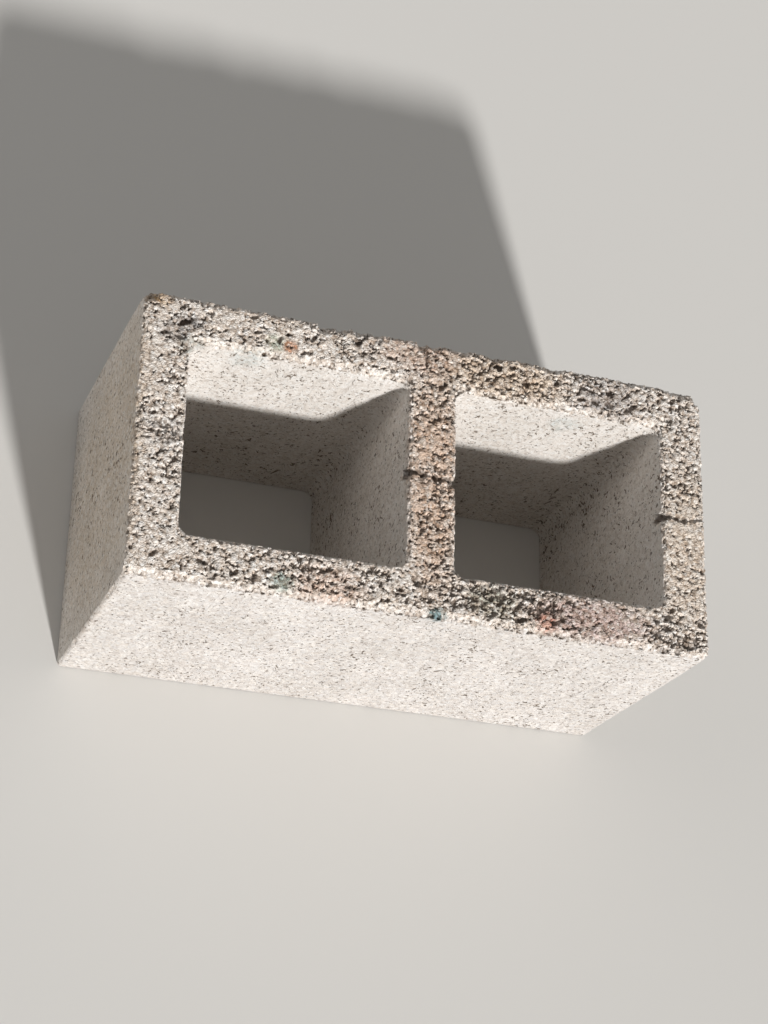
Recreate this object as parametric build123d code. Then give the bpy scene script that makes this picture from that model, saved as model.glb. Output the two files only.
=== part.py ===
"""Hollow concrete block, two cores, plain ends. Millimetres.

The block lies as it was moulded: +Z is up, +X runs along its length and +Y through its width.
The origin is the middle of the lower bed face.

It is one dry-cast piece. Its cores are drafted, so the webs and face shells are thinnest at the
top bed and thickest at the bottom bed. The bar that carried the cores across the mould has left
a groove along the middle of the top bed, and a nick in each web where it met a core.
"""
import os
from math import radians, tan

from build123d import *

# Overall size: a nominal 16 x 8 x 8 inch unit, less the mortar joint
block_length = 397.0
block_width = 194.0
block_height = 194.0

# Walls, measured at the top bed, where they are thinnest
face_shell = 31.0
end_web = 32.0
centre_web = 33.0
core_count = 2

# Cores: the angle that each wall leans in by towards the bottom bed, and the round corners
core_draft = 1.2
core_corner = 8.0

# Edges: arrises softened by handling, and the worn rims of the cores
corner_arris = 3.0
bed_arris = 1.6
top_rim = 1.6
bottom_rim = 1.0

# Groove of the core bar, a blunt wedge in section
bar_width = 5.0
bar_nose = 1.6
bar_depth = 3.0

# Nick where the bar met a core: a half cone that narrows into the web
nick_radius = 4.2
nick_tip = 1.0
nick_reach = 7.0


def core_size():
    """Length and width of one core at the top bed, from the walls round it."""
    webs = 2 * end_web + (core_count - 1) * centre_web
    length = (block_length - webs) / core_count
    width = block_width - 2 * face_shell
    return length, width


def core_centres():
    """Places of the cores along the block, a core and a web apart."""
    length, width = core_size()
    pitch = length + centre_web
    first = -pitch * (core_count - 1) / 2
    return [first + pitch * number for number in range(core_count)]


def outer_body():
    """The mould's outline at its full height, with softened arrises."""
    body = extrude(Rectangle(block_length, block_width), block_height)
    body = fillet(body.edges().filter_by(Axis.Z), corner_arris)
    beds = body.faces().filter_by(Axis.Z)
    return fillet(beds.edges(), bed_arris)


def mould_core(centre_x):
    """The tapered plug that leaves one core, from bed to bed."""
    length, width = core_size()
    lean = block_height * tan(radians(core_draft))
    mouth = RectangleRounded(length, width, core_corner)
    foot = RectangleRounded(length - 2 * lean, width - 2 * lean, core_corner)
    return loft([Pos(centre_x, 0, 0) * foot, Pos(centre_x, 0, block_height) * mouth])


def soften_rims(block, bed, radius):
    """Round the edge of every core where it meets a bed face."""
    rims = [edge for rim in bed.inner_wires() for edge in rim.edges()]
    return fillet(rims, radius)


def core_bar():
    """The bar over the cores, laid along the middle of the top bed."""
    wedge = Polygon(
        (-bar_width / 2, 0),
        (-bar_nose / 2, -bar_depth),
        (bar_nose / 2, -bar_depth),
        (bar_width / 2, 0),
        align=None,
    )
    section = Plane.YZ.offset(-block_length / 2) * wedge
    return Pos(0, 0, block_height) * extrude(section, block_length)


def web_nick(centre_x, side):
    """The cone that opens one core wall where the bar crosses it; side is -1 or 1."""
    length, width = core_size()
    wall_x = centre_x + side * (length / 2 - top_rim)
    cone = Cone(
        nick_radius,
        nick_tip,
        nick_reach + top_rim,
        align=(Align.CENTER, Align.CENTER, Align.MIN),
    )
    return Pos(wall_x, 0, block_height) * Rot(0, side * 90, 0) * cone


def hollow_block():
    """The block as it leaves the mould and after some handling."""
    block = outer_body()
    for centre_x in core_centres():
        block -= mould_core(centre_x)
    block = soften_rims(block, block.faces().sort_by(Axis.Z)[-1], top_rim)
    block = soften_rims(block, block.faces().sort_by(Axis.Z)[0], bottom_rim)
    block -= core_bar()
    for centre_x in core_centres():
        for side in (-1, 1):
            block -= web_nick(centre_x, side)
    return block


os.makedirs("parts", exist_ok=True)
export_step(hollow_block(), "parts/block.step")
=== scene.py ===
# %% [markdown]
# # A hollow concrete block
#
# The real object is one piece of dry-cast concrete. A stiff mix of sand, crushed stone and cement
# was tamped into a steel mould and pushed out at once. That leaves two kinds of surface. The
# sides and the core walls slid along steel, so a thin skin of paste covers their grains. The
# bed faces were never against a mould wall, so they are open, with grit standing proud and dark
# voids between. The whole look of the block is in that difference, and in its worn edges.
#
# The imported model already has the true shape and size. Here it gets its grit, its damage and
# its colour.

# %% Load the frame
from math import cos, radians, sin

import bmesh
import bpy
import numpy as np
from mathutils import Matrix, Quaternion, Vector, noise


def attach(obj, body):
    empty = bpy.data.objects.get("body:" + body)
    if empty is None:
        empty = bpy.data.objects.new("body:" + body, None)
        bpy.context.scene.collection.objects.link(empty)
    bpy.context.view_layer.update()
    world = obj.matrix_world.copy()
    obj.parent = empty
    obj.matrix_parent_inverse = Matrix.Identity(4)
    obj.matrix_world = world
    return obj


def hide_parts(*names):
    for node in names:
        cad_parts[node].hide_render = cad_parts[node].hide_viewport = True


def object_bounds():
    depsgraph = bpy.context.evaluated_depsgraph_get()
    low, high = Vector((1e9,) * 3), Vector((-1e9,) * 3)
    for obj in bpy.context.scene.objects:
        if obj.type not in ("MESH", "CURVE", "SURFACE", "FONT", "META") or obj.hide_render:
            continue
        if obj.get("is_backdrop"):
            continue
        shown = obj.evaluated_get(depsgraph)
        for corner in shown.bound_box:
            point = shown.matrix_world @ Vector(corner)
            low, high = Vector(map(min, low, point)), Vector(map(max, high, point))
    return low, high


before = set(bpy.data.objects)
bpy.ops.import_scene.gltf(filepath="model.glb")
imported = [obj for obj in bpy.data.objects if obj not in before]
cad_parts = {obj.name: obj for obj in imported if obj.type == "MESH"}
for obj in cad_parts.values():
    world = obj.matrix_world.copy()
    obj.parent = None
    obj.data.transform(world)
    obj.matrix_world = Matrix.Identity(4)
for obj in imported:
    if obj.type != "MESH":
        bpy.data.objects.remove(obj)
cad_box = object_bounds()
MM = 0.001
length, width, height = (cad_box[1] - cad_box[0]) / MM

# %% [markdown]
# ## Camera
#
# The photograph looks down on the block from its front left at about 60 degrees, with the
# block's length nearly level in the picture. A camera is placed by two angles and a distance,
# and then rolled about its own line of sight. Its distance is the real one, because that sets
# the perspective. The long lens only fills the frame.

# %% Place the camera
AZIMUTH, ELEVATION, ROLL = radians(-38.7), radians(60.2), radians(44.1)
DISTANCE, LENS = 1.452, 74.0
AIM = Vector((0.0, 0.011, 0.1015))


def direction(azimuth, elevation):
    """The unit vector towards a place round the block: 0 is the front, 90 the right end."""
    turn = Quaternion((0, 0, 1), azimuth) @ Quaternion((1, 0, 0), -elevation)
    return turn @ Vector((0, -1, 0))


camera_data = bpy.data.cameras.new("camera")
camera_data.lens = LENS
camera = bpy.data.objects.new("camera", camera_data)
bpy.context.scene.collection.objects.link(camera)
bpy.context.scene.camera = camera
to_camera = direction(AZIMUTH, ELEVATION)
camera.location = AIM + to_camera * DISTANCE
camera.rotation_mode = "QUATERNION"
camera.rotation_quaternion = to_camera.to_track_quat("Z", "Y") @ Quaternion((0, 0, 1), ROLL)
print("camera at", [round(value, 3) for value in camera.location])

# %% [markdown]
# ## An even skin
#
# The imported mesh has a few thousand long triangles, and no pit can be pressed into those. A
# copy of it is merged and then remeshed, which rebuilds the surface from small even squares.
# The squares have to be smaller than the smallest pit that should show as real relief.

# %% Copy the block and remesh it
SKIN = 0.7 * MM


def apply_modifiers(thing):
    """Keep the mesh as the modifiers leave it."""
    depsgraph = bpy.context.evaluated_depsgraph_get()
    finished = bpy.data.meshes.new_from_object(thing.evaluated_get(depsgraph))
    thing.modifiers.clear()
    thing.data = finished
    return finished


cad_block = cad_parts["block"]
body_mesh = bmesh.new()
body_mesh.from_mesh(cad_block.data)
bmesh.ops.remove_doubles(body_mesh, verts=body_mesh.verts, dist=0.001 * MM)
merged = bpy.data.meshes.new("hollow_block")
body_mesh.to_mesh(merged)
body_mesh.free()
block = bpy.data.objects.new("hollow_block", merged)
bpy.context.scene.collection.objects.link(block)

remesh = block.modifiers.new("even skin", "REMESH")
remesh.mode = "VOXEL"
remesh.voxel_size = SKIN
skin = apply_modifiers(block)
print("skin of", len(skin.polygons), "faces")

# %% [markdown]
# ## Damage
#
# Concrete this dry breaks along its edges, grain by grain, and never on its flat faces. So the
# damage is a set of moves that act only close to an edge. Each one measures how far a point is
# from the edge along both faces. Where the two distances add up to less than the width of the
# break, the point is pushed in by half of what is missing, along both faces at once. What was
# an edge becomes a sloping scar. The sizes below are read from the photograph, in millimetres.

# %% Read the skin as numbers
def read_vectors(mesh, name):
    """One property of every vertex, as rows of three numbers."""
    flat = np.empty(len(mesh.vertices) * 3, np.float32)
    mesh.vertices.foreach_get(name, flat)
    return flat.reshape(-1, 3)


points = read_vectors(skin, "co").astype(float) / MM
facing = read_vectors(skin, "normal")
whole = points.copy()
print(len(points), "points to work on")

# %% Three tools for breaking edges
def unevenness(places, size, start):
    """Smooth noise, mostly between -0.6 and 0.6, with lumps of the given size."""
    return np.array([noise.noise(Vector(place / size + start)) for place in places])


def break_edge(which, first, second, into_first, into_second, size):
    """Push points near an edge in, where first + second is less than the break's size."""
    missing = np.clip(size - first - second, 0, None)[:, None] / 2
    points[which] += missing * (np.array(into_first) + np.array(into_second))


def chipped(size, along, chips):
    """Deepen a break at single chips, each given as place, reach and depth."""
    for place, reach, depth in chips:
        share = np.clip(1 - ((along - place) / reach) ** 2, 0, None) ** 0.5
        size = np.maximum(size, depth * share)
    return size


print("noise at three points", unevenness(points[:3], 9.0, 0.0).round(2))

# %% Grit along the top edges
RIM_ZONE = 14.0
DOWN = (0.0, 0.0, -1.0)
# Break of every top edge, and what a lump and a grain of grit add to it
EVEN_BREAK, LUMP_ADDS, GRIT_ADDS = 1.3, 2.4, 2.6
LUMP_SIZE, GRAIN_SIZE = 9.0, 2.2

near_top = np.flatnonzero(points[:, 2] > height - RIM_ZONE)
top = points[near_top]
below = height - top[:, 2]
lumps = np.clip(unevenness(top, LUMP_SIZE, 3.1), 0, None)
grit = unevenness(top, GRAIN_SIZE, 11.7)
crumbs = EVEN_BREAK + LUMP_ADDS * lumps + GRIT_ADDS * grit
print("breaks of", crumbs.min().round(1), "to", crumbs.max().round(1), "mm along the top edges")

# %% Break the back arris
BACK_WEAR, BACK_GRIT = 1.0, 2.0
# Place along the block, reach and depth
BACK_CHIPS = (
    (-128, 8, 2.5),
    (-109, 7, 3.0),
    (-77, 5, 8.5),
    (-67, 9, 6.0),
    (-52, 6, 5.5),
    (-40, 5, 5.0),
    (-8, 4, 7.5),
    (0, 5, 6.0),
    (20, 8, 5.0),
    (44, 7, 5.5),
    (88, 8, 5.5),
    (150, 10, 3.0),
    (188, 20, 5.5),
)
back_break = chipped(crumbs + BACK_WEAR, top[:, 0], BACK_CHIPS) + BACK_GRIT * grit
break_edge(near_top, width / 2 - top[:, 1], below, (0, -1, 0), DOWN, back_break)
print(len(BACK_CHIPS), "chips in the back arris")

# %% Wear the other outer arrises
# Place across the block, reach and depth
LEFT_CHIPS = ((14, 4, 3.2), (3, 4, 3.6), (-14, 4, 3.0), (-60, 3, 2.4))
FRONT_WEAR = 3.4
left_break = chipped(crumbs, top[:, 1], LEFT_CHIPS)
break_edge(near_top, length / 2 + top[:, 0], below, (1, 0, 0), DOWN, left_break)
break_edge(near_top, length / 2 - top[:, 0], below, (-1, 0, 0), DOWN, crumbs)
break_edge(near_top, width / 2 + top[:, 1], below, (0, 1, 0), DOWN, crumbs + FRONT_WEAR)
print("left, right and front arrises worn")

# %% Wear the rims of the cores
# Half the centre web, and one core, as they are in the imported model
WEB_HALF, CORE_LENGTH, CORE_WIDTH, CORE_CORNER = 16.5, 150.0, 132.0, 8.0
BACK_RIM_WEAR = 3.0

core_middle = np.array([WEB_HALF + CORE_LENGTH / 2, 0.0])
core_half = np.array([CORE_LENGTH, CORE_WIDTH]) / 2
folded = np.abs(top[:, :2]) - core_middle
turn_back = np.sign(top[:, :2]) * np.sign(folded)
past = np.clip(np.abs(folded) - core_half + CORE_CORNER, 0, None)
reach = np.hypot(*past.T)
away = np.zeros_like(top)
away[:, :2] = turn_back * past / np.maximum(reach, 0.01)[:, None]
to_rim = np.clip(reach - CORE_CORNER, 0, None)
rim_break = crumbs + BACK_RIM_WEAR * np.clip(away[:, 1], 0, 1)
break_edge(near_top, to_rim, below, away, DOWN, rim_break)
print("rims of both cores worn")

# %% Nick the upright corners
CORNER_ZONE = 8.0
EVEN_NICK, NICK_VARIES, NICK_LENGTH = 1.4, 2.2, 11.0
to_end = length / 2 - np.abs(points[:, 0])
to_face = width / 2 - np.abs(points[:, 1])
upright = np.flatnonzero(to_end + to_face < CORNER_ZONE)
nicks = EVEN_NICK + NICK_VARIES * unevenness(points[upright], NICK_LENGTH, 5.3)
inward = -np.sign(points[upright])
into_end = inward * (1, 0, 0)
into_face = inward * (0, 1, 0)
break_edge(upright, to_end[upright], to_face[upright], into_end, into_face, nicks)
print(len(upright), "points along the upright corners")

# %% Round the corners that have taken knocks
# Side of each corner along X and Y, and its radius at the top bed
WORN_CORNERS = ((-1, 1, 5.5), (1, 1, 7.0), (1, -1, 4.5), (-1, -1, 4.5))
SOUND_RADIUS, FADE = 3.0, 70.0
for side_x, side_y, radius in WORN_CORNERS:
    fade = np.clip(1 - (height - points[:, 2]) / FADE, 0, 1)
    round_off = SOUND_RADIUS + (radius - SOUND_RADIUS) * fade**2
    hub_x = side_x * (length / 2 - round_off)
    hub_y = side_y * (width / 2 - round_off)
    out_x = (points[:, 0] - hub_x) * side_x
    out_y = (points[:, 1] - hub_y) * side_y
    out = np.hypot(out_x, out_y)
    beyond = (out_x > 0) & (out_y > 0) & (out > round_off)
    shrink = round_off[beyond] / out[beyond]
    points[beyond, 0] = hub_x[beyond] + side_x * out_x[beyond] * shrink
    points[beyond, 1] = hub_y[beyond] + side_y * out_y[beyond] * shrink
print(len(WORN_CORNERS), "corners rounded")

# %% Chip the top of each corner
# Side of each corner along X and Y, and how far its chip reaches along each edge
CORNER_CHIPS = ((-1, 1, 11.0), (1, 1, 11.0), (1, -1, 8.0), (-1, -1, 8.0))
CHIP_VARIES, CHIP_GRAIN, WIDEST_CHIP = 0.6, 4.0, 1.4
for side_x, side_y, size in CORNER_CHIPS:
    edge_sum = length / 2 - side_x * points[:, 0] + width / 2 - side_y * points[:, 1]
    edge_sum += height - points[:, 2]
    corner = np.flatnonzero(edge_sum < size * WIDEST_CHIP)
    uneven_size = size * (1 + CHIP_VARIES * unevenness(points[corner], CHIP_GRAIN, 9.4))
    missing = np.clip(uneven_size - edge_sum[corner], 0, None)[:, None] / 3
    points[corner] -= missing * np.array([side_x, side_y, 1.0])
print(len(CORNER_CHIPS), "corners chipped")

# %% [markdown]
# ## The mark of the core bar
#
# A steel bar held the cores while the mix was tamped round it. The imported model has its straight
# groove. The real groove closed up as the bar was drawn out, and now looks like a ragged crack
# that opens into a notch where it meets a core. So the points near it are drawn together, lifted
# and shifted sideways, along a route that wanders and jumps from grain to grain. How deep a
# point lies in the groove is kept for the material, which darkens it there with dirt and painted
# shade.

# %% The route of the groove
# Place along the block, shift sideways, and how open the groove is
GROOVE_ROUTE = (
    (-198.5, 0.0, 0.0),
    (-171, 0.0, 0.0),
    (-166, 0.0, 0.6),
    (-18, 1.2, 1.2),
    (-13, 2.4, 1.0),
    (-9, 3.2, 0.8),
    (-5, 2.4, 0.5),
    (-3, 1.4, 0.1),
    (0, 0.4, 0.1),
    (2, -0.6, 0.9),
    (5, -0.9, 0.9),
    (7, -0.6, 0.3),
    (10, -0.8, 0.9),
    (17, -1.2, 1.3),
    (166, 0.4, 1.3),
    (171, 0.8, 1.0),
    (175, 0.6, 0.15),
    (178, 0.2, 0.9),
    (180.5, 0.2, 0.1),
    (183, 0.0, 1.0),
    (186, 0.0, 0.1),
    (191, 2.0, 0.3),
    (198.5, 3.0, 0.3),
)
route_x, route_y, route_open = zip(*GROOVE_ROUTE)
print("the route has", len(GROOVE_ROUTE), "places")

# %% Tear the groove of the core bar
GROOVE_REACH, GROOVE_ZONE = 12.0, 9.0
JAG, JAG_LENGTH, FINE_JAG, FINE_JAG_LENGTH, GAPE_LENGTH = 2.6, 2.9, 1.6, 1.7, 5.0
# How far the sides come together and the floor comes up where the groove is shut
CLOSING, LIFTING = 0.75, 0.85
# Where the groove is darkened with dirt and painted shade: half width, depth where it starts, and how
# fast it grows as the groove gapes
DIRT_AND_SHADE_HALF, DIRT_AND_SHADE_START, DIRT_AND_SHADE_SPREAD = 1.6, 0.6, 1.4

by_bar = np.flatnonzero((np.abs(points[:, 1]) < GROOVE_REACH) & (points[:, 2] > height - GROOVE_ZONE))
bar_points = points[by_bar]
along_only = bar_points * (1, 0, 0)
jagged = JAG * unevenness(along_only, JAG_LENGTH, 7.7)
jagged += FINE_JAG * unevenness(bar_points, FINE_JAG_LENGTH, 4.1)
shift = np.interp(bar_points[:, 0], route_x, route_y) + jagged
gape = np.interp(bar_points[:, 0], route_x, route_open)
gape *= 1 + unevenness(along_only, GAPE_LENGTH, 2.2)
depth = np.clip(height - bar_points[:, 2], 0, None)
hold = 1 - np.abs(bar_points[:, 1]) / GROOVE_REACH
hold *= 1 - depth / GROOVE_ZONE
# Darker with depth where the groove gapes: dirt and painted shade
groove_dirt_and_shade = np.clip(DIRT_AND_SHADE_SPREAD * gape, 0, 1) * np.clip(depth - DIRT_AND_SHADE_START, 0, 1)
groove_dirt_and_shade *= np.clip(2 - np.abs(bar_points[:, 1]) / DIRT_AND_SHADE_HALF, 0, 1)
hollow_dirt_and_shade = np.zeros(len(points))
hollow_dirt_and_shade[by_bar] = groove_dirt_and_shade
shut = np.clip(1 - gape, 0, 1)
points[by_bar, 1] += hold * (shift - CLOSING * shut * bar_points[:, 1])
points[by_bar, 2] += hold * LIFTING * shut * depth
print(int((hollow_dirt_and_shade > 0.5).sum()), "points in the groove")

# %% Open the groove into a notch at each core
# Place of the rim, direction into the web, and shift sideways
NOTCHES = ((-WEB_HALF, 1, 1.7), (WEB_HALF, -1, -1.2), (WEB_HALF + CORE_LENGTH, 1, 0.2))
NOTCH_LENGTH, NOTCH_HALF, NOTCH_DEPTH, NOTCH_FADE, WALL_SLACK = 8.0, 4.2, 8.0, 16.0, 3.0
NOTCH_RAGGED, NOTCH_GRAIN = 2.2, 3.0
NOTCH_SHADE, SHADE_START, SHADE_SLOPE = 0.75, 0.3, 2.2

in_reach = np.abs(points[:, 1]) < GROOVE_REACH
near_groove = np.flatnonzero(in_reach & (points[:, 2] > height - NOTCH_FADE))
ragged_side = NOTCH_RAGGED * unevenness(points[near_groove], NOTCH_GRAIN, 6.6)
for rim_x, into_web, middle in NOTCHES:
    near = points[near_groove]
    along = (near[:, 0] - rim_x) * into_web
    across = np.abs(near[:, 1] - middle + ragged_side)
    wedge = np.clip(1 - np.clip(along, 0, None) / NOTCH_LENGTH - across / NOTCH_HALF, 0, 1)
    wedge *= (along > -WALL_SLACK) * np.clip(1 - (height - near[:, 2]) / NOTCH_FADE, 0, 1)
    points[near_groove, 2] -= NOTCH_DEPTH * wedge
    shade = NOTCH_SHADE * np.clip(SHADE_SLOPE * (wedge - SHADE_START), 0, 1)
    shade *= np.clip(1 + along / WALL_SLACK, 0, 1)
    hollow_dirt_and_shade[near_groove] = np.maximum(hollow_dirt_and_shade[near_groove], shade)

moved = np.linalg.norm(points - whole, axis=1)
print("farthest move", round(float(moved.max()), 1), "mm")

# %% [markdown]
# ## Lost stones
#
# Here and there a stone has come out of the top bed, and left a slot that is dark at its floor.
# The photograph shows about fifty that are large enough to place. Each is an ellipse, turned
# and pressed down, with an edge that the same noise as before makes ragged.

# %% Where stones are lost
# Place, half length, half width, and direction in degrees from the block's length
LOST_STONES = (
    (-171, 79, 6.5, 2.0, 33),
    (-183, 70, 4.5, 2.0, 10),
    (-174, 68, 4.0, 1.8, -20),
    (-172, 91, 1.0, 3.0, 0),
    (-155, 89, 2.8, 1.2, 5),
    (-125, 92, 2.8, 1.3, 10),
    (-121, 82, 4.5, 1.0, 15),
    (-116, 77, 1.2, 2.6, 0),
    (-107, 80, 2.2, 1.3, 40),
    (-101, 84, 3.0, 0.9, 8),
    (-90, 73, 4.4, 1.4, 24),
    (-84, 85, 4.2, 1.2, 60),
    (-54, 88, 3.4, 2.6, 80),
    (-42, 73, 2.6, 1.0, 10),
    (-30, 81, 3.8, 1.4, 8),
    (-5, 86, 6.5, 1.0, 88),
    (6, 66, 4.6, 1.4, 50),
    (5, 82, 1.4, 2.6, 0),
    (46, 89, 1.8, 3.2, 20),
    (57, 91, 2.4, 1.5, 30),
    (53, 75, 3.2, 1.4, -40),
    (66, 81, 2.2, 3.0, 0),
    (90, 85, 3.6, 1.3, 35),
    (107, 77, 3.0, 1.2, 0),
    (118, 77, 3.6, 1.8, 20),
    (129, 76, 3.2, 2.6, -20),
    (129, 85, 2.4, 1.8, 30),
    (145, 77, 7.0, 1.4, 38),
    (174, 73, 2.2, 1.3, 0),
    (-181, -81, 4.2, 1.0, 42),
    (-151, -82, 4.0, 2.0, -25),
    (-142, -90, 5.2, 1.3, 35),
    (-130, -87, 3.4, 1.6, 25),
    (-104, -92, 4.6, 1.0, 12),
    (-83, -91, 3.0, 1.1, -25),
    (-55, -84, 1.5, 2.8, 20),
    (-49, -95, 3.0, 1.4, 0),
    (-21, -81, 3.4, 1.6, 0),
    (-9, -74, 4.6, 1.8, -20),
    (36, -72, 1.0, 4.0, 0),
    (42, -77, 2.2, 1.8, 40),
    (43, -89, 5.0, 1.2, 50),
    (62, -90, 4.4, 1.5, 15),
    (69, -74, 3.4, 1.5, -10),
    (87, -88, 2.4, 1.4, 30),
    (101, -93, 2.2, 1.4, 40),
    (111, -93, 2.0, 3.0, 0),
    (168, -73, 4.6, 1.8, 42),
    (172, -67, 1.9, 1.8, 0),
    (184, -91, 4.2, 2.2, 15),
    (193, -74, 1.8, 2.6, 0),
)
print(len(LOST_STONES), "stones lost from the top bed")

# %% Press the slots of the lost stones
SLOT_DEPTH, SLOT_REACH = 2.6, 6.0
SLOT_RIM, SLOT_SLOPE, SLOT_RAGGED = 1.1, 1.6, 0.6
# How dark the slot floors are made, and from where: dirt and painted shade
SLOT_DIRT_AND_SHADE, DIRT_AND_SHADE_EDGE, DIRT_AND_SHADE_SLOPE = 0.8, 0.4, 2.0

bed = points[near_top]
bed_depth = height - bed[:, 2]
hollow = np.zeros(len(bed))
for slot_x, slot_y, half_length, half_width, turn in LOST_STONES:
    lengthwise = np.array([cos(radians(turn)), sin(radians(turn))])
    offset = bed[:, :2] - (slot_x, slot_y)
    along = offset @ lengthwise / half_length
    across = offset @ (-lengthwise[1], lengthwise[0]) / half_width
    far = np.hypot(along, across) - SLOT_RAGGED * grit
    hollow = np.maximum(hollow, np.clip(SLOT_SLOPE * (SLOT_RIM - far), 0, 1))
hollow *= np.clip(1 - bed_depth / SLOT_REACH, 0, 1)
points[near_top, 2] -= SLOT_DEPTH * hollow
# The floor of each slot is darkened: dirt and painted shade
slot_dirt_and_shade = SLOT_DIRT_AND_SHADE * np.clip(DIRT_AND_SHADE_SLOPE * (hollow - DIRT_AND_SHADE_EDGE), 0, 1)
hollow_dirt_and_shade[near_top] = np.maximum(hollow_dirt_and_shade[near_top], slot_dirt_and_shade)
print(int((hollow > 0.5).sum()), "points in the slots")

# %% [markdown]
# ## Where grains and voids lie
#
# Relief and colour have to agree: a void must be both deep and dark, and a grain both proud
# and pale. So the pattern of the mix is written once, as a function that adds the same nodes to
# any node tree. Geometry Nodes and the shader both call it. Both read the place of a point from
# an attribute that is stored before the relief is pressed in. A stored place stays true when
# the point moves, and the pattern can't slip off its pits.
#
# Every size here is a real one in millimetres. Stones are crushed aggregate, grit is coarse
# sand, and sand is the finest grain that a render can show.

# %% Two helpers for node trees
def colour(code):
    """An sRGB hex colour as linear RGBA."""
    parts = [int(code[place:place + 2], 16) / 255 for place in (1, 3, 5)]
    linear = [part / 12.92 if part <= 0.04045 else ((part + 0.055) / 1.055) ** 2.4 for part in parts]
    return (*linear, 1.0)


def add(tree, kind, values, stops=(), **settings):
    """Add one node, with its settings, values, links and colour stops, and return its outputs."""
    made = tree.nodes.new(kind)
    for name, value in settings.items():
        setattr(made, name, value)
    for name, value in values.items():
        if isinstance(value, bpy.types.NodeSocket):
            tree.links.new(value, made.inputs[name])
        else:
            made.inputs[name].default_value = value
    for number, (place, code) in enumerate(stops):
        elements = made.color_ramp.elements
        element = elements[number] if number < len(elements) else elements.new(place)
        element.position = place
        element.color = colour(code)
    return made.outputs


print("a mid grey in linear light", round(colour("#808080")[0], 3))

# %% Grains of three sizes
STONE, GRIT, SAND = 6.0 * MM, 2.5 * MM, 0.95 * MM
BEND, RIPPLE = 1.8 * MM, 3.0 * MM


def bent_place(tree, place):
    """A place that smooth noise has pushed about, so that no cell has straight sides."""
    ripple = add(tree, "ShaderNodeTexNoise", {"Vector": place, "Scale": 1 / RIPPLE, "Detail": 1.0})
    centred = add(tree, "ShaderNodeVectorMath", {0: ripple["Color"], 1: (0.5, 0.5, 0.5)},
                  operation="SUBTRACT")
    return add(tree, "ShaderNodeVectorMath", {0: centred["Vector"], 1: (BEND, BEND, BEND), 2: place},
               operation="MULTIPLY_ADD")["Vector"]


def grain_pattern(tree, bent):
    """Stones, grit and sand as cells; a stone's size is its own, and many cells have none."""
    stones = add(tree, "ShaderNodeTexVoronoi", {"Vector": bent, "Scale": 1 / STONE})
    grains = add(tree, "ShaderNodeTexVoronoi", {"Vector": bent, "Scale": 1 / GRIT})
    sand = add(tree, "ShaderNodeTexVoronoi", {"Vector": bent, "Scale": 1 / SAND})
    pick = add(tree, "ShaderNodeSeparateXYZ", {"Vector": stones["Color"]})
    size = add(tree, "ShaderNodeMapRange", {"Value": pick["X"], "To Min": -0.35, "To Max": 0.52})
    inside = add(tree, "ShaderNodeMath", {0: size["Result"], 1: stones["Distance"]},
                 operation="SUBTRACT")
    stone = add(tree, "ShaderNodeMapRange", {"Value": inside["Value"], "From Max": 0.14},
                interpolation_type="SMOOTHSTEP")["Result"]
    return {
        "stone": stone,
        "stone_pick": pick["Y"],
        "grit": grains["Distance"],
        "grit_pick": grains["Color"],
        "sand": sand["Distance"],
        "sand_pick": sand["Color"],
    }


print("grains of", [round(size / MM, 2) for size in (STONE, GRIT, SAND)], "mm")

# %% Voids between the grains
VOID, PATCH = 4.6 * MM, 34.0 * MM
PATCHINESS, STONE_HOLD = 0.26, 0.1


def void_pattern(tree, place, stone, looseness):
    """How well the mix is packed at a place, and the voids where it is loose."""
    gaps = add(tree, "ShaderNodeTexNoise",
               {"Vector": place, "Scale": 1 / VOID, "Detail": 2.0, "Roughness": 0.95})
    patches = add(tree, "ShaderNodeTexNoise", {"Vector": place, "Scale": 1 / PATCH, "Detail": 1.0})
    tight = add(tree, "ShaderNodeMath", {0: stone, 1: STONE_HOLD, 2: gaps["Fac"]},
                operation="MULTIPLY_ADD")
    loose = add(tree, "ShaderNodeMath", {0: patches["Fac"], 1: PATCHINESS, 2: tight["Value"]},
                operation="MULTIPLY_ADD")
    packed = add(tree, "ShaderNodeMath", {0: loose["Value"], 1: looseness}, operation="SUBTRACT")
    void = add(tree, "ShaderNodeMapRange",
               {"Value": packed["Value"], "From Min": 0.585, "From Max": 0.525},
               interpolation_type="SMOOTHSTEP")
    return {"packed": packed["Value"], "patch": patches["Fac"], "void": void["Result"]}


print("voids about", round(VOID / MM, 1), "mm apart")

# %% Holes in the moulded skin
PIN_HOLE = 2.3 * MM
# Spacing, and the smallest and largest radius as shares of it; below 0 a cell has no hole
PORES, BUG_HOLES = (10.0 * MM, -0.25, 0.2), (27.0 * MM, -0.12, 0.085)


def pin_hole_pattern(tree, place, packed):
    """Pin holes: the lowest places of a fine noise, and the loosest of the mix."""
    pins = add(tree, "ShaderNodeTexNoise",
               {"Vector": place, "Scale": 1 / PIN_HOLE, "Detail": 1.0, "Roughness": 0.7})
    fine_hole = add(tree, "ShaderNodeMapRange",
                    {"Value": pins["Fac"], "From Min": 0.385, "From Max": 0.29, "To Max": 0.75},
                    interpolation_type="SMOOTHSTEP")
    wide_hole = add(tree, "ShaderNodeMapRange",
                    {"Value": packed, "From Min": 0.505, "From Max": 0.455},
                    interpolation_type="SMOOTHSTEP")
    return add(tree, "ShaderNodeMath", {0: fine_hole["Result"], 1: wide_hole["Result"]},
               operation="MAXIMUM")["Value"]


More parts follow.
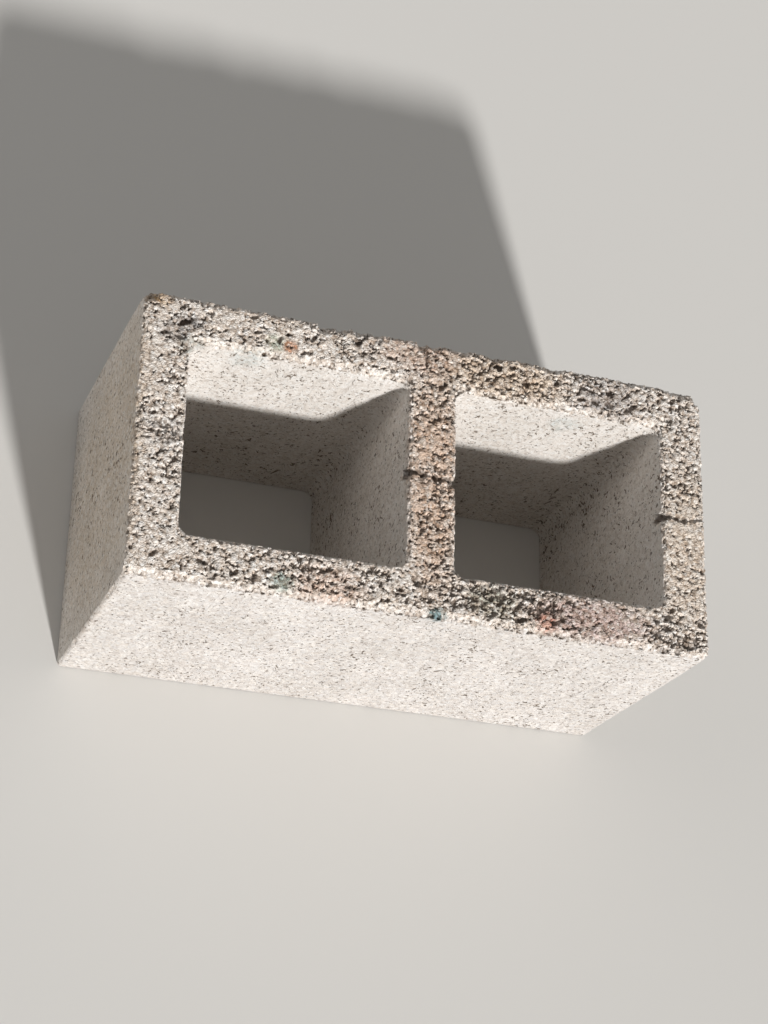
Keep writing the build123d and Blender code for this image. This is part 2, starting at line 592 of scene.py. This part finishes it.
def round_hole_pattern(tree, bent, spacing, smallest, largest):
    """Round holes of random size, with one at most in each cell."""
    cells = add(tree, "ShaderNodeTexVoronoi", {"Vector": bent, "Scale": 1 / spacing})
    draw = add(tree, "ShaderNodeSeparateXYZ", {"Vector": cells["Color"]})
    radius = add(tree, "ShaderNodeMapRange",
                 {"Value": draw["Y"], "To Min": smallest, "To Max": largest})
    within = add(tree, "ShaderNodeMath", {0: radius["Result"], 1: cells["Distance"]},
                 operation="SUBTRACT")
    return add(tree, "ShaderNodeMapRange", {"Value": within["Value"], "From Max": 0.4 * largest},
               interpolation_type="SMOOTHSTEP")["Result"]


widest = [round(2 * spacing * largest / MM, 1) for spacing, _, largest in (PORES, BUG_HOLES)]
print("pores up to", widest[0], "mm and bug holes up to", widest[1], "mm wide")

# %% All of the mix
DRAG_WIDTH, DRAG_LENGTH = 2.6 * MM, 40.0 * MM


def mix_pattern(tree, place, looseness):
    """Add the nodes that say where grains, voids, holes and the mould's drag marks lie."""
    bent = bent_place(tree, place)
    mix = grain_pattern(tree, bent)
    mix |= void_pattern(tree, place, mix["stone"], looseness)
    mix["pin_hole"] = pin_hole_pattern(tree, place, mix["packed"])
    mix["pore"] = round_hole_pattern(tree, bent, *PORES)
    mix["bug_hole"] = round_hole_pattern(tree, bent, *BUG_HOLES)
    stretch = (1 / DRAG_WIDTH, 1 / DRAG_WIDTH, 1 / DRAG_LENGTH)
    streaks = add(tree, "ShaderNodeVectorMath", {0: place, 1: stretch}, operation="MULTIPLY")
    drag = add(tree, "ShaderNodeTexNoise", {"Vector": streaks["Vector"], "Scale": 1.0, "Detail": 1.0})
    mix["drag"] = drag["Fac"]
    return mix


print("drag marks about", round(DRAG_LENGTH / MM), "mm long")

# %% [markdown]
# ## Relief
#
# Two faces, two kinds of relief. On an open face each grain is a low dome, a stone stands
# proud, and a void is a pit of one or two millimetres. On a moulded face the skin is flat, apart
# from a few bug holes, which trapped air has left. Its smaller pores would need more faces than
# the piece may have, so they are bump. One number for each point says which face it is on: 1 on
# the top bed and on every broken edge, less on the bottom bed, which its pallet pressed flat,
# and 0 on the moulded faces. The mix is also looser in some places than in others.

# %% Where the mix is loose or tight
# Place on the top bed, reach along X and Y, and how much looser the mix is there
LOOSE_ZONES = (
    (-184, 3, 20, 14, 0.065),
    (-172, 78, 15, 9, 0.04),
    (-120, 86, 50, 12, -0.03),
    (-67, 93, 22, 8, 0.06),
    (36, 90, 14, 10, 0.05),
    (120, 84, 60, 14, 0.045),
    (-88, -80, 20, 13, 0.07),
    (45, -78, 45, 13, 0.085),
    (150, -86, 50, 12, 0.04),
    (-180, -70, 26, 34, -0.05),
    (-186, 48, 16, 30, -0.045),
    (0, 0, 18, 70, 0.045),
)
ZONE_RIM = 1.4
looseness = np.zeros(len(points))
for zone_x, zone_y, reach_x, reach_y, amount in LOOSE_ZONES:
    far = np.hypot((points[:, 0] - zone_x) / reach_x, (points[:, 1] - zone_y) / reach_y)
    looseness += amount * np.clip(ZONE_RIM - far, 0, 1)
print("looseness from", looseness.min().round(3), "to", looseness.max().round(3))

# %% Store the place and the kind of face of each point
# How open the bottom bed is, and how much smoother a worn place is than the top bed
PALLET_FACE, WORN_SMOOTH = 0.3, 0.35
# Where a face starts to count as a bed, by how far its normal points up or down, and the blend
TOP_START, BOTTOM_START, BED_BLEND = 0.3, 0.5, 0.35
# How far damage has to move a point before its face counts as broken, in mm, and the blend
WORN_START, WORN_BLEND = 0.25, 0.6
# Below a top edge the open face fades out, further down at grit and lumps
RUN_OVER, RUN_AT_GRIT, RUN_FADE = 1.8, 2.2, 0.8


def store(mesh, name, kind, field, values):
    """Keep one value for each point under a name that nodes can read."""
    attribute = mesh.attributes.new(name, kind, "POINT")
    attribute.data.foreach_set(field, values.astype(np.float32).ravel())


upward = np.clip((facing[:, 2] - TOP_START) / BED_BLEND, 0, 1)
downward = np.clip((-facing[:, 2] - BOTTOM_START) / BED_BLEND, 0, 1)
worn = np.clip((moved - WORN_START) / WORN_BLEND, 0, 1)
ragged = np.zeros(len(points))
ragged[near_top] = np.clip(RUN_OVER + RUN_AT_GRIT * (grit + lumps) - RUN_FADE * below, 0, 1)
open_face = np.maximum.reduce([upward, PALLET_FACE * downward, worn, ragged])
open_face *= 1 - WORN_SMOOTH * worn
skin.vertices.foreach_set("co", (points * MM).astype(np.float32).ravel())
skin.update()
store(skin, "cast_place", "FLOAT_VECTOR", "vector", points * MM)
store(skin, "open_face", "FLOAT", "value", open_face)
store(skin, "hollow_dirt_and_shade", "FLOAT", "value", hollow_dirt_and_shade)
store(skin, "looseness", "FLOAT", "value", looseness)
print("open points", int((open_face > 0.5).sum()), "of", len(points))

# %% The relief as nodes
PIT_DEPTH, STONE_RISE, GRIT_DOME, WAVE = 2.3 * MM, 0.8 * MM, 1.1 * MM, 1.2 * MM
BUG_DEPTH, DRAG_RELIEF = 1.8 * MM, 0.08 * MM
# The parts of an open face's relief add up, and what is shallower than this is level with the face
OPEN_TOP = 1.15 * MM


def relief_nodes():
    """A node group that pushes every point in by the depth of the pattern."""
    tree = bpy.data.node_groups.new("grit relief", "GeometryNodeTree")
    tree.interface.new_socket("Geometry", in_out="INPUT", socket_type="NodeSocketGeometry")
    tree.interface.new_socket("Geometry", in_out="OUTPUT", socket_type="NodeSocketGeometry")
    before = add(tree, "NodeGroupInput", {})
    place = add(tree, "GeometryNodeInputNamedAttribute", {"Name": "cast_place"},
                data_type="FLOAT_VECTOR")
    opened, looseness = (
        add(tree, "GeometryNodeInputNamedAttribute", {"Name": name}, data_type="FLOAT")["Attribute"]
        for name in ("open_face", "looseness")
    )
    mix = mix_pattern(tree, place["Attribute"], looseness)
    dome = add(tree, "ShaderNodeMath", {0: mix["grit"], 1: mix["grit"]}, operation="MULTIPLY")
    sunk = add(tree, "ShaderNodeMath", {0: 1.0, 1: mix["stone"]}, operation="SUBTRACT")
    open_parts = (
        (mix["void"], PIT_DEPTH),
        (sunk["Value"], STONE_RISE),
        (dome["Value"], GRIT_DOME),
        (mix["patch"], WAVE),
    )
    total = -OPEN_TOP
    for pattern, most in open_parts:
        total = add(tree, "ShaderNodeMath", {0: pattern, 1: most, 2: total},
                    operation="MULTIPLY_ADD")["Value"]
    rugged = add(tree, "ShaderNodeMath", {0: total, 1: 0.0}, operation="MAXIMUM")
    dragged = add(tree, "ShaderNodeMath", {0: mix["drag"], 1: DRAG_RELIEF}, operation="MULTIPLY")
    pitted = add(tree, "ShaderNodeMath", {0: mix["bug_hole"], 1: BUG_DEPTH, 2: dragged["Value"]},
                 operation="MULTIPLY_ADD")
    chosen = add(tree, "ShaderNodeMix", {"Factor": opened, "A": pitted["Value"], "B": rugged["Value"]})
    normal = add(tree, "GeometryNodeInputNormal", {})
    outward = add(tree, "ShaderNodeVectorMath", {0: normal["Normal"], "Scale": chosen["Result"]},
                  operation="SCALE")
    inward = add(tree, "ShaderNodeVectorMath", {0: outward["Vector"], 1: (-1, -1, -1)},
                 operation="MULTIPLY")
    shifted = add(tree, "GeometryNodeSetPosition",
                  {"Geometry": before["Geometry"], "Offset": inward["Vector"]})
    add(tree, "NodeGroupOutput", {"Geometry": shifted["Geometry"]})
    return tree


print("pits up to", round(PIT_DEPTH / MM, 1), "mm deep")

# %% Press the relief in
relief = block.modifiers.new("grit relief", "NODES")
relief.node_group = relief_nodes()
skin = apply_modifiers(block)
pressed = read_vectors(skin, "co")
print("top bed now", round(float(pressed[:, 2].max()) / MM, 2), "mm high at its highest grain")

# %% [markdown]
# ## Fewer faces where it is flat
#
# Most of those squares lie on flat moulded faces, where they do little. Decimate removes the
# edges whose loss changes the shape least, so the flat faces empty out first and the grit keeps
# its faces. The limit is 200,000 triangles for one piece. The faint drag marks on the moulded
# faces matter here: on a perfect plane Decimate would leave long thin splinters, and those show
# as creases. It also moves points a little, so the last step brings them back inside the box.
#
# A long triangle that starts at a grain or a bug hole would smear its shade far along the flat
# face. So the points of a flat face that lie next to such a place are kept out of the thinning.

# %% Find the fringe of the flat faces
FRINGE_ROWS, FLAT_LIMIT, SMALLEST_DENT = 2, 0.04, 0.15 * MM

edge_ends = np.empty(len(skin.edges) * 2, np.int32)
skin.edges.foreach_get("vertices", edge_ends)
first_end, second_end = edge_ends.reshape(-1, 2).T
dent = np.linalg.norm(pressed - points * MM, axis=1)
flat = (open_face < FLAT_LIMIT) & (dent < SMALLEST_DENT)
fringe = ~flat
for _ in range(FRINGE_ROWS):
    beside = fringe[first_end] != fringe[second_end]
    fringe[first_end[beside]] = True
    fringe[second_end[beside]] = True
fringe &= flat
print(int(fringe.sum()), "points in the fringe")

# %% Thin the mesh
TRIANGLES = 196000

skin.calc_loop_triangles()
thin = block.modifiers.new("thin", "DECIMATE")
thin.ratio = min(1.0, TRIANGLES / len(skin.loop_triangles))
thin.use_collapse_triangulate = True
kept = block.vertex_groups.new(name="fringe")
kept.add(np.flatnonzero(fringe).tolist(), 1.0, "REPLACE")
thin.vertex_group = kept.name
thin.invert_vertex_group = True
body = apply_modifiers(block)
inside_box = np.clip(read_vectors(body, "co"), *np.array(cad_box))
body.vertices.foreach_set("co", inside_box.astype(np.float32).ravel())
body.shade_smooth()
body.update()
print("block has", len(body.polygons), "triangles")

# %% [markdown]
# ## Dry-cast concrete
#
# The colour comes from three things: the paste, which is a warm pale grey, the sand and stones,
# each with its own tone, and the darkening in the voids, pores, groove and slots, which is partly
# dirt and partly painted shade. Painted shade also darkens the crevices between the grains. On an
# open face the grains show. On a moulded face a skin of paste hides most of them, and the surface
# is paler and more even, with small dark pores, pin holes darkened by painted shade, and faint
# upright marks from sliding out of the mould.
#
# Concrete is a dull, rough dielectric, so it has no metal, a roughness near 1 and a weak shine.

# %% Tones of the grains and the paste
STONE_TONES = (
    (0.0, "#c4b7aa"),
    (0.3, "#efe4d8"),
    (0.55, "#e3cebc"),
    (0.8, "#f7efe6"),
    (1.0, "#d3c8bd"),
)
GRIT_TONES = (
    (0.0, "#a9937f"),
    (0.15, "#d6c4b3"),
    (0.45, "#f2e6da"),
    (0.75, "#fbf4ec"),
    (1.0, "#fffcf8"),
)
SAND_TONES = ((0.0, "#9a8573"), (0.35, "#eadccd"), (1.0, "#fffaf3"))
PASTE_TONES = ((0.3, "#c6c3be"), (0.7, "#e1deda"))
# Painted shade in the pin holes, and how much of the grains shows through the skin
PIN_HOLE_SHADE, SKIN_VEIL = "#8c8277", 0.5
CLOUD = 50 * MM


def grain_tone(tree, mix):
    """The tone of an open face: stones, grit and sand, each grain its own."""
    grit_pick = add(tree, "ShaderNodeSeparateXYZ", {"Vector": mix["grit_pick"]})["X"]
    sand_pick = add(tree, "ShaderNodeSeparateXYZ", {"Vector": mix["sand_pick"]})["Y"]
    stone = add(tree, "ShaderNodeValToRGB", {"Fac": mix["stone_pick"]}, STONE_TONES)["Color"]
    grit = add(tree, "ShaderNodeValToRGB", {"Fac": grit_pick}, GRIT_TONES)["Color"]
    sand = add(tree, "ShaderNodeValToRGB", {"Fac": sand_pick}, SAND_TONES)["Color"]
    bedded = add(tree, "ShaderNodeMath", {0: mix["stone"], 1: 0.5}, operation="MULTIPLY")
    coarse = add(tree, "ShaderNodeMix", {"Factor": bedded["Value"], "A": grit, "B": stone},
                 data_type="RGBA")
    return add(tree, "ShaderNodeMix", {"Factor": 0.5, "A": coarse["Result"], "B": sand},
               data_type="RGBA")["Result"]


def skin_tone(tree, place, grains, mix):
    """The tone of a moulded face: clouded paste, a hint of the grains, pin holes darkened by painted
    shade, and drag marks.
    """
    clouds = add(tree, "ShaderNodeTexNoise", {"Vector": place, "Scale": 1 / CLOUD, "Detail": 3.0})
    paste = add(tree, "ShaderNodeValToRGB", {"Fac": clouds["Fac"]}, PASTE_TONES)["Color"]
    veiled = add(tree, "ShaderNodeMix", {"Factor": SKIN_VEIL, "A": paste, "B": grains},
                 data_type="RGBA")["Result"]
    # Pin holes are darkened: painted shade
    specked = add(tree, "ShaderNodeMix",
                  {"Factor": mix["pin_hole"], "A": veiled, "B": colour(PIN_HOLE_SHADE)},
                  data_type="RGBA", blend_type="MULTIPLY")["Result"]
    shade = add(tree, "ShaderNodeMapRange",
                {"Value": mix["drag"], "From Min": 0.35, "From Max": 0.65,
                 "To Min": 0.875, "To Max": 0.925})
    return add(tree, "ShaderNodeMix", {"Factor": 1.0, "A": specked, "B": shade["Result"]},
               data_type="RGBA", blend_type="MULTIPLY")["Result"]


print(len(STONE_TONES) + len(GRIT_TONES) + len(SAND_TONES), "tones of grain")

# %% [markdown]
# ## Stains and painted shade
#
# The photograph shows a few marks that belong to this block: patches where the sand is reddish
# or tan, a dark lichen near the back left corner, and some small spots of colour. Each is a
# soft ball of colour at a place on the block. It multiplies what is under it, so the grains
# still show, and a grain's own random value says how much of the stain that grain has taken.
# The left end and the front face are each darkened in the same way: painted shade, browner on the left
# end.

# %% Where the stains and the painted shade are
# Place in mm, reach along X, Y and Z, colour and strength. The last two are painted shade on whole
# faces
STAINS_AND_FACE_SHADE = (
    ((0, 0, 194), (26, 110, 12), "#ecdacd", 1.0),
    ((50, 82, 194), (64, 24, 12), "#eee2d4", 0.9),
    ((-10, 88, 194), (44, 20, 12), "#ebdbd2", 0.8),
    ((-68, -86, 194), (34, 20, 12), "#f1e1d9", 0.8),
    ((112, -82, 194), (60, 20, 12), "#e0d0cf", 1.0),
    ((42, -80, 194), (24, 14, 10), "#d0d4cc", 0.9),
    ((184, -20, 194), (24, 80, 12), "#f5ede3", 0.7),
    ((128, 80, 194), (34, 20, 10), "#d3d2d4", 0.9),
    ((-177, 71, 194), (13, 10, 8), "#bcbcbd", 0.9),
    ((-167, 79, 194), (14, 9, 8), "#b4b4b6", 0.9),
    ((-165, 62, 190), (13, 12, 12), "#d9e0e0", 0.9),
    ((-188, 93, 192), (12, 9, 10), "#ecd2ae", 0.7),
    ((-99, -88, 193), (11, 9, 9), "#c0d5d4", 1.0),
    ((-110, 76, 194), (10, 9, 8), "#d3ddd3", 0.8),
    ((5, -94, 192), (9, 7, 8), "#8ba8b0", 1.0),
    ((80, -89, 194), (11, 10, 9), "#efc6b7", 0.9),
    ((-100, 75, 194), (7, 6, 6), "#dcb096", 1.2),
    ((-126, 66, 184), (18, 8, 16), "#e9f0f2", 0.8),
    ((104, 65, 174), (16, 8, 14), "#e9f0f2", 0.8),
    # Painted shade on the left end, darker and browner
    ((-200, 0, 120), (12, 150, 190), "#ece2d5", 0.8),
    # Painted shade on the front face, which takes the key light head on
    ((0, -99.5, 97), (900, 6.5, 500), "#e8e8ea", 1.0),
)


def stained_and_shaded(tree, tone, place, mottle):
    """Lay every stain, and the painted shade on two faces, over a tone."""
    takes = add(tree, "ShaderNodeMapRange", {"Value": mottle, "To Min": 0.25, "To Max": 1.5})["Result"]
    for spot, reach, code, strength in STAINS_AND_FACE_SHADE:
        offset = add(tree, "ShaderNodeVectorMath", {0: place, 1: Vector(spot) * MM},
                     operation="SUBTRACT")
        scaled = add(tree, "ShaderNodeVectorMath",
                     {0: offset["Vector"], 1: [1 / (side * MM) for side in reach]},
                     operation="MULTIPLY")
        far = add(tree, "ShaderNodeVectorMath", {0: scaled["Vector"]}, operation="LENGTH")
        share = add(tree, "ShaderNodeMapRange",
                    {"Value": far["Value"], "From Min": 1.0, "From Max": 0.3, "To Max": strength},
                    interpolation_type="SMOOTHSTEP")
        taken = add(tree, "ShaderNodeMath", {0: share["Result"], 1: takes},
                    operation="MULTIPLY", use_clamp=True)
        tone = add(tree, "ShaderNodeMix",
                   {"Factor": taken["Value"], "A": tone, "B": colour(code)},
                   data_type="RGBA", blend_type="MULTIPLY")["Result"]
    return tone


print(len(STAINS_AND_FACE_SHADE), "stains")

# %% The height of the finest relief
FINE_GRAIN = 0.8 * MM
SKIN_RELIEF = 0.5
# Heights and depths in mm
SAND_DOME, FINE_GRIT, PORE_DEPTH, PIN_HOLE_DEPTH = 0.60, 0.50, 0.80, 0.35


def fine_height(tree, place, mix, opened):
    """Height in mm of what is too small for the mesh: sand, pin holes and pores."""
    fine = add(tree, "ShaderNodeTexNoise",
               {"Vector": place, "Scale": 1 / FINE_GRAIN, "Detail": 1.0})
    grainy = add(tree, "ShaderNodeMath", {0: fine["Fac"], 1: FINE_GRIT}, operation="MULTIPLY")
    sandy = add(tree, "ShaderNodeMath", {0: mix["sand"], 1: -SAND_DOME, 2: grainy["Value"]},
                operation="MULTIPLY_ADD")
    worn = add(tree, "ShaderNodeMath", {0: sandy["Value"], 1: SKIN_RELIEF}, operation="MULTIPLY")
    specked = add(tree, "ShaderNodeMath", {0: mix["pin_hole"], 1: -PIN_HOLE_DEPTH, 2: worn["Value"]},
                  operation="MULTIPLY_ADD")
    porous = add(tree, "ShaderNodeMath", {0: mix["pore"], 1: -PORE_DEPTH, 2: specked["Value"]},
                 operation="MULTIPLY_ADD")
    return add(tree, "ShaderNodeMix",
               {"Factor": opened, "A": porous["Value"], "B": sandy["Value"]})["Result"]


print("sand stands", SAND_DOME, "mm high and pores are", PORE_DEPTH, "mm deep")

# %% The material
# The colour that darkens hollows, which is dirt and painted shade, and the painted shade between
# grains
VOID_DIRT_AND_SHADE, CREVICE_SHADE = "#5a4d43", "#9a8d80"
DIRT_AND_SHADE_COVER = 0.8


def dry_cast_concrete():
    """Open and moulded faces of one mix, with dirt and painted shade in the hollows, painted shade
    between the grains, and stains on top.
    """
    material = bpy.data.materials.new("dry_cast_concrete")
    material.use_nodes = True
    tree = material.node_tree
    shader = tree.nodes["Principled BSDF"]
    place = add(tree, "ShaderNodeAttribute", {}, attribute_name="cast_place")["Vector"]
    opened, groove, looseness = (
        add(tree, "ShaderNodeAttribute", {}, attribute_name=name)["Fac"]
        for name in ("open_face", "hollow_dirt_and_shade", "looseness")
    )
    mix = mix_pattern(tree, place, looseness)

    grains = grain_tone(tree, mix)
    # Painted shade in the crevices between the grains of grit
    crevice = add(tree, "ShaderNodeMapRange",
                  {"Value": mix["grit"], "From Min": 0.45, "From Max": 0.8, "To Max": 0.7})
    shaded_crevices = add(tree, "ShaderNodeMix",
                {"Factor": crevice["Result"], "A": grains, "B": colour(CREVICE_SHADE)},
                data_type="RGBA", blend_type="MULTIPLY")["Result"]
    moulded = skin_tone(tree, place, grains, mix)
    tone = add(tree, "ShaderNodeMix", {"Factor": opened, "A": moulded, "B": shaded_crevices},
               data_type="RGBA")["Result"]
    mottle = add(tree, "ShaderNodeSeparateXYZ", {"Vector": mix["grit_pick"]})["Z"]
    tone = stained_and_shaded(tree, tone, place, mottle)

    # Voids, pores, bug holes, the groove and the slots are darkened towards their floors: dirt and
    # painted shade
    holes = add(tree, "ShaderNodeMath", {0: mix["pore"], 1: mix["bug_hole"]}, operation="MAXIMUM")
    pit_floor = add(tree, "ShaderNodeMapRange", {"Value": mix["void"], "From Min": 0.3})
    recess = add(tree, "ShaderNodeMix",
                 {"Factor": opened, "A": holes["Value"], "B": pit_floor["Result"]})["Result"]
    dirt_and_shade = add(tree, "ShaderNodeMath", {0: recess, 1: groove}, operation="MAXIMUM")
    held = add(tree, "ShaderNodeMath", {0: dirt_and_shade["Value"], 1: DIRT_AND_SHADE_COVER}, operation="MULTIPLY")
    tone = add(tree, "ShaderNodeMix",
               {"Factor": held["Value"], "A": tone, "B": colour(VOID_DIRT_AND_SHADE)},
               data_type="RGBA")["Result"]
    tree.links.new(tone, shader.inputs["Base Color"])

    height_mm = fine_height(tree, place, mix, opened)
    bump = add(tree, "ShaderNodeBump", {"Strength": 1.0, "Distance": 1 * MM, "Height": height_mm})
    tree.links.new(bump["Normal"], shader.inputs["Normal"])
    shader.inputs["Roughness"].default_value = 0.93
    shader.inputs["Specular IOR Level"].default_value = 0.3
    return material


block.data.materials.clear()
block.data.materials.append(dry_cast_concrete())
print("material with", len(block.data.materials[0].node_tree.nodes), "nodes")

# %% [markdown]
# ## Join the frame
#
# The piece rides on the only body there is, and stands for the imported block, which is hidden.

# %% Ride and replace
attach(block, "root")
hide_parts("block")
print(block.name, "stands for the packed block")

# %% [markdown]
# ## Floor and light
#
# In the photograph the light comes low from the front right. It rakes across the top bed, fills
# the front face and leaves the left end in shade, and that is what shows the grit. A lamp in the
# same direction keeps this. It stands for a broad light far away, so its shadows are soft and the
# floor is lit evenly from every side. A wide, weak soft box and a pale sky fill the rest.

# %% Lay the floor
FLOOR_REACH = 40.0

floor_mesh = bmesh.new()
bmesh.ops.create_grid(floor_mesh, x_segments=1, y_segments=1, size=FLOOR_REACH)
floor_data = bpy.data.meshes.new("floor")
floor_mesh.to_mesh(floor_data)
floor_mesh.free()
floor = bpy.data.objects.new("floor", floor_data)
bpy.context.scene.collection.objects.link(floor)
paint = bpy.data.materials.new("studio_floor")
paint.use_nodes = True
paint_shader = paint.node_tree.nodes["Principled BSDF"]
paint_shader.inputs["Base Color"].default_value = colour("#d0cdc8")
paint_shader.inputs["Roughness"].default_value = 0.9
floor_data.materials.append(paint)
floor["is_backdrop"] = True
print("floor of", floor.dimensions.x, "m")

# %% Set the lamps
LAMP_DISTANCE = 3.0


def aim_lamp(name, kind, azimuth, elevation, power):
    """A lamp that faces the block."""
    lamp_data = bpy.data.lights.new(name, kind)
    lamp_data.energy = power
    lamp = bpy.data.objects.new(name, lamp_data)
    towards = direction(radians(azimuth), radians(elevation))
    lamp.location = towards * LAMP_DISTANCE
    lamp.rotation_mode = "QUATERNION"
    lamp.rotation_quaternion = towards.to_track_quat("Z", "Y")
    bpy.context.scene.collection.objects.link(lamp)
    return lamp_data


key = aim_lamp("key", "SUN", azimuth=16, elevation=29, power=3.95)
key.angle = radians(4)
fill = aim_lamp("fill", "AREA", azimuth=-115, elevation=42, power=6)
fill.shape = "DISK"
fill.size = 2.5
print("key and fill set")

# %% Set the sky
SKY_LEVEL, SEEN_LEVEL = 0.3, 0.88

world = bpy.data.worlds.new("studio")
world.use_nodes = True
sky = world.node_tree
backdrop = sky.nodes["Background"]
rays = add(sky, "ShaderNodeLightPath", {})
shown = rays["Is Camera Ray"]
for kind in ("Is Glossy Ray", "Is Transmission Ray"):
    shown = add(sky, "ShaderNodeMath", {0: shown, 1: rays[kind]}, operation="MAXIMUM")["Value"]
strength = add(sky, "ShaderNodeMix", {"Factor": shown, "A": SKY_LEVEL, "B": SEEN_LEVEL})
sky.links.new(strength["Result"], backdrop.inputs["Strength"])
backdrop.inputs["Color"].default_value = (1.0, 1.0, 1.0, 1.0)
bpy.context.scene.world = world
bpy.context.scene.view_settings.view_transform = "Standard"
print("sky at", SKY_LEVEL)

# %% [markdown]
# ## Sizes
#
# The finish must not change the block's size, so both boxes are written down side by side.

# %% Print both boxes and finish
boxes = {"cad": cad_box, "visual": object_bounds()}
for name, box in boxes.items():
    print(name, [round(value / MM, 2) for value in (*box[0], *box[1])])
